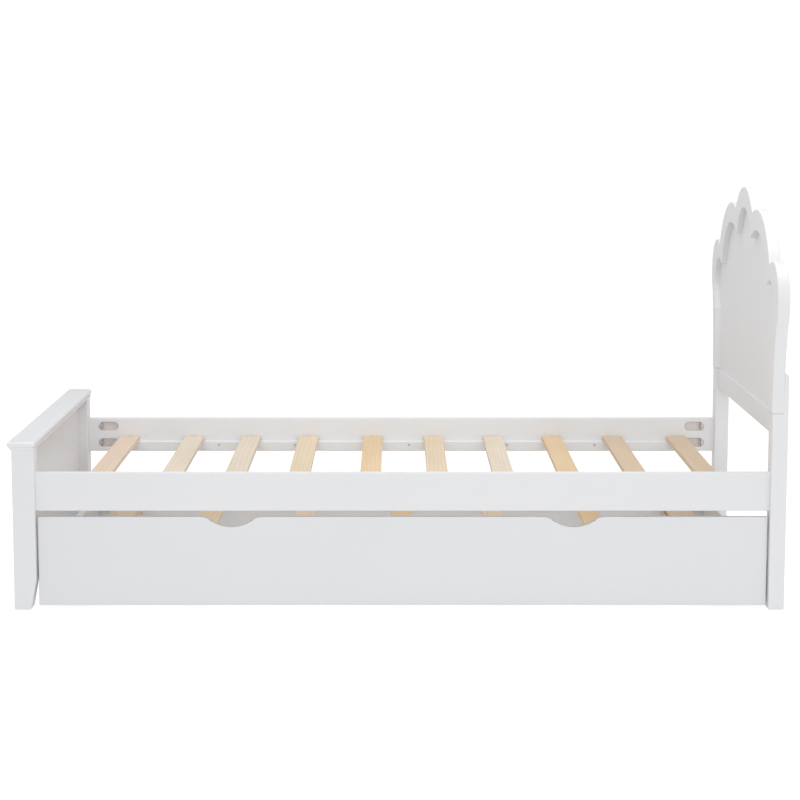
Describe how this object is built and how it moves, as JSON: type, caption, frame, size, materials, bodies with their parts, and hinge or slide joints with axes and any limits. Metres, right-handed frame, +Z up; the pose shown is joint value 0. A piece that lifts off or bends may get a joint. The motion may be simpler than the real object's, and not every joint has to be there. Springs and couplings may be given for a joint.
{
  "type": "trundle bed",
  "caption": "Twin trundle bed with a scalloped panelled headboard, low footboard, slatted base, and a wheeled slatted trundle that rolls out from under the near side.",
  "frame": {"origin": "on the floor under the middle of the whole bed, halfway along its length and width", "axes": "+X along the bed from the footboard to the headboard, +Y from the near side with the trundle front to the far side, +Z up"},
  "size_m": [2.028, 1.182, 1.0889],
  "materials": {
    "white_paint": "satin white paint over smooth wood",
    "pine": "planed unfinished pine",
    "dowel_wood": "plain beech",
    "zinc_steel": "zinc plated",
    "glide_plastic": "plain moulded nylon",
    "wheel_plastic": "moulded nylon with a plain tread"
  },
  "bodies": {
    "bed": {"footboard_post_near": "white_paint", "footboard_post_far": "white_paint", "footboard_cap": "white_paint", "footboard_top_rail": "white_paint", "footboard_bottom_rail": "white_paint", "footboard_panel": "white_paint", "side_rail_near": "white_paint", "side_rail_far": "white_paint", "headboard_leg_near": "white_paint", "headboard_leg_far": "white_paint", "headboard_frame": "white_paint", "headboard_panel": "white_paint", "headboard_bottom_rail": "white_paint", "slat_cleat_near": "white_paint", "slat_cleat_far": "white_paint", "slat_01": "pine", "slat_02": "pine", "slat_03": "pine", "slat_04": "pine", "slat_05": "pine", "slat_06": "pine", "slat_07": "pine", "slat_08": "pine", "slat_09": "pine", "slat_10": "pine", "headboard_screws": "zinc_steel", "rail_bolts": "zinc_steel", "rail_inserts": "zinc_steel", "rail_nuts": "zinc_steel", "rail_dowels": "dowel_wood", "cleat_screws": "zinc_steel", "slat_screws": "zinc_steel", "floor_glides": "glide_plastic"},
    "trundle": {"trundle_front": "white_paint", "trundle_back_rail": "white_paint", "trundle_end_rail_foot": "white_paint", "trundle_end_rail_head": "white_paint", "trundle_cleat_front": "white_paint", "trundle_cleat_back": "white_paint", "trundle_bearer_foot": "pine", "trundle_bearer_head": "pine", "trundle_slat_1": "pine", "trundle_slat_2": "pine", "trundle_slat_3": "pine", "trundle_slat_4": "pine", "trundle_slat_5": "pine", "trundle_slat_6": "pine", "trundle_slat_7": "pine", "trundle_slat_screws": "zinc_steel", "trundle_screws": "zinc_steel", "caster_near_foot": "zinc_steel", "caster_near_head": "zinc_steel", "caster_far_foot": "zinc_steel", "caster_far_head": "zinc_steel", "caster_axles": "zinc_steel", "caster_screws": "zinc_steel"},
    "wheel_near_foot": {"wheel_near_foot": "wheel_plastic"},
    "wheel_near_head": {"wheel_near_head": "wheel_plastic"},
    "wheel_far_foot": {"wheel_far_foot": "wheel_plastic"},
    "wheel_far_head": {"wheel_far_head": "wheel_plastic"}
  },
  "joints": [
    {"name": "trundle_slide", "type": "slide", "parent": "bed", "child": "trundle", "axis": [0, -1, 0], "range_m": [0, 1.05]},
    {"name": "wheel_near_foot_roll", "type": "hinge", "parent": "trundle", "child": "wheel_near_foot", "pos_m": [-0.833, -0.4, 0.025], "axis": [1, 0, 0], "continuous": true},
    {"name": "wheel_near_head_roll", "type": "hinge", "parent": "trundle", "child": "wheel_near_head", "pos_m": [0.86, -0.4, 0.025], "axis": [1, 0, 0], "continuous": true},
    {"name": "wheel_far_foot_roll", "type": "hinge", "parent": "trundle", "child": "wheel_far_foot", "pos_m": [-0.833, 0.4, 0.025], "axis": [1, 0, 0], "continuous": true},
    {"name": "wheel_far_head_roll", "type": "hinge", "parent": "trundle", "child": "wheel_far_head", "pos_m": [0.86, 0.4, 0.025], "axis": [1, 0, 0], "continuous": true}
  ],
  "couplings": [
    {"joint": "wheel_near_foot_roll", "follows": "trundle_slide", "rad_per_m": 40},
    {"joint": "wheel_near_head_roll", "follows": "trundle_slide", "rad_per_m": 40},
    {"joint": "wheel_far_foot_roll", "follows": "trundle_slide", "rad_per_m": 40},
    {"joint": "wheel_far_head_roll", "follows": "trundle_slide", "rad_per_m": 40}
  ]
}
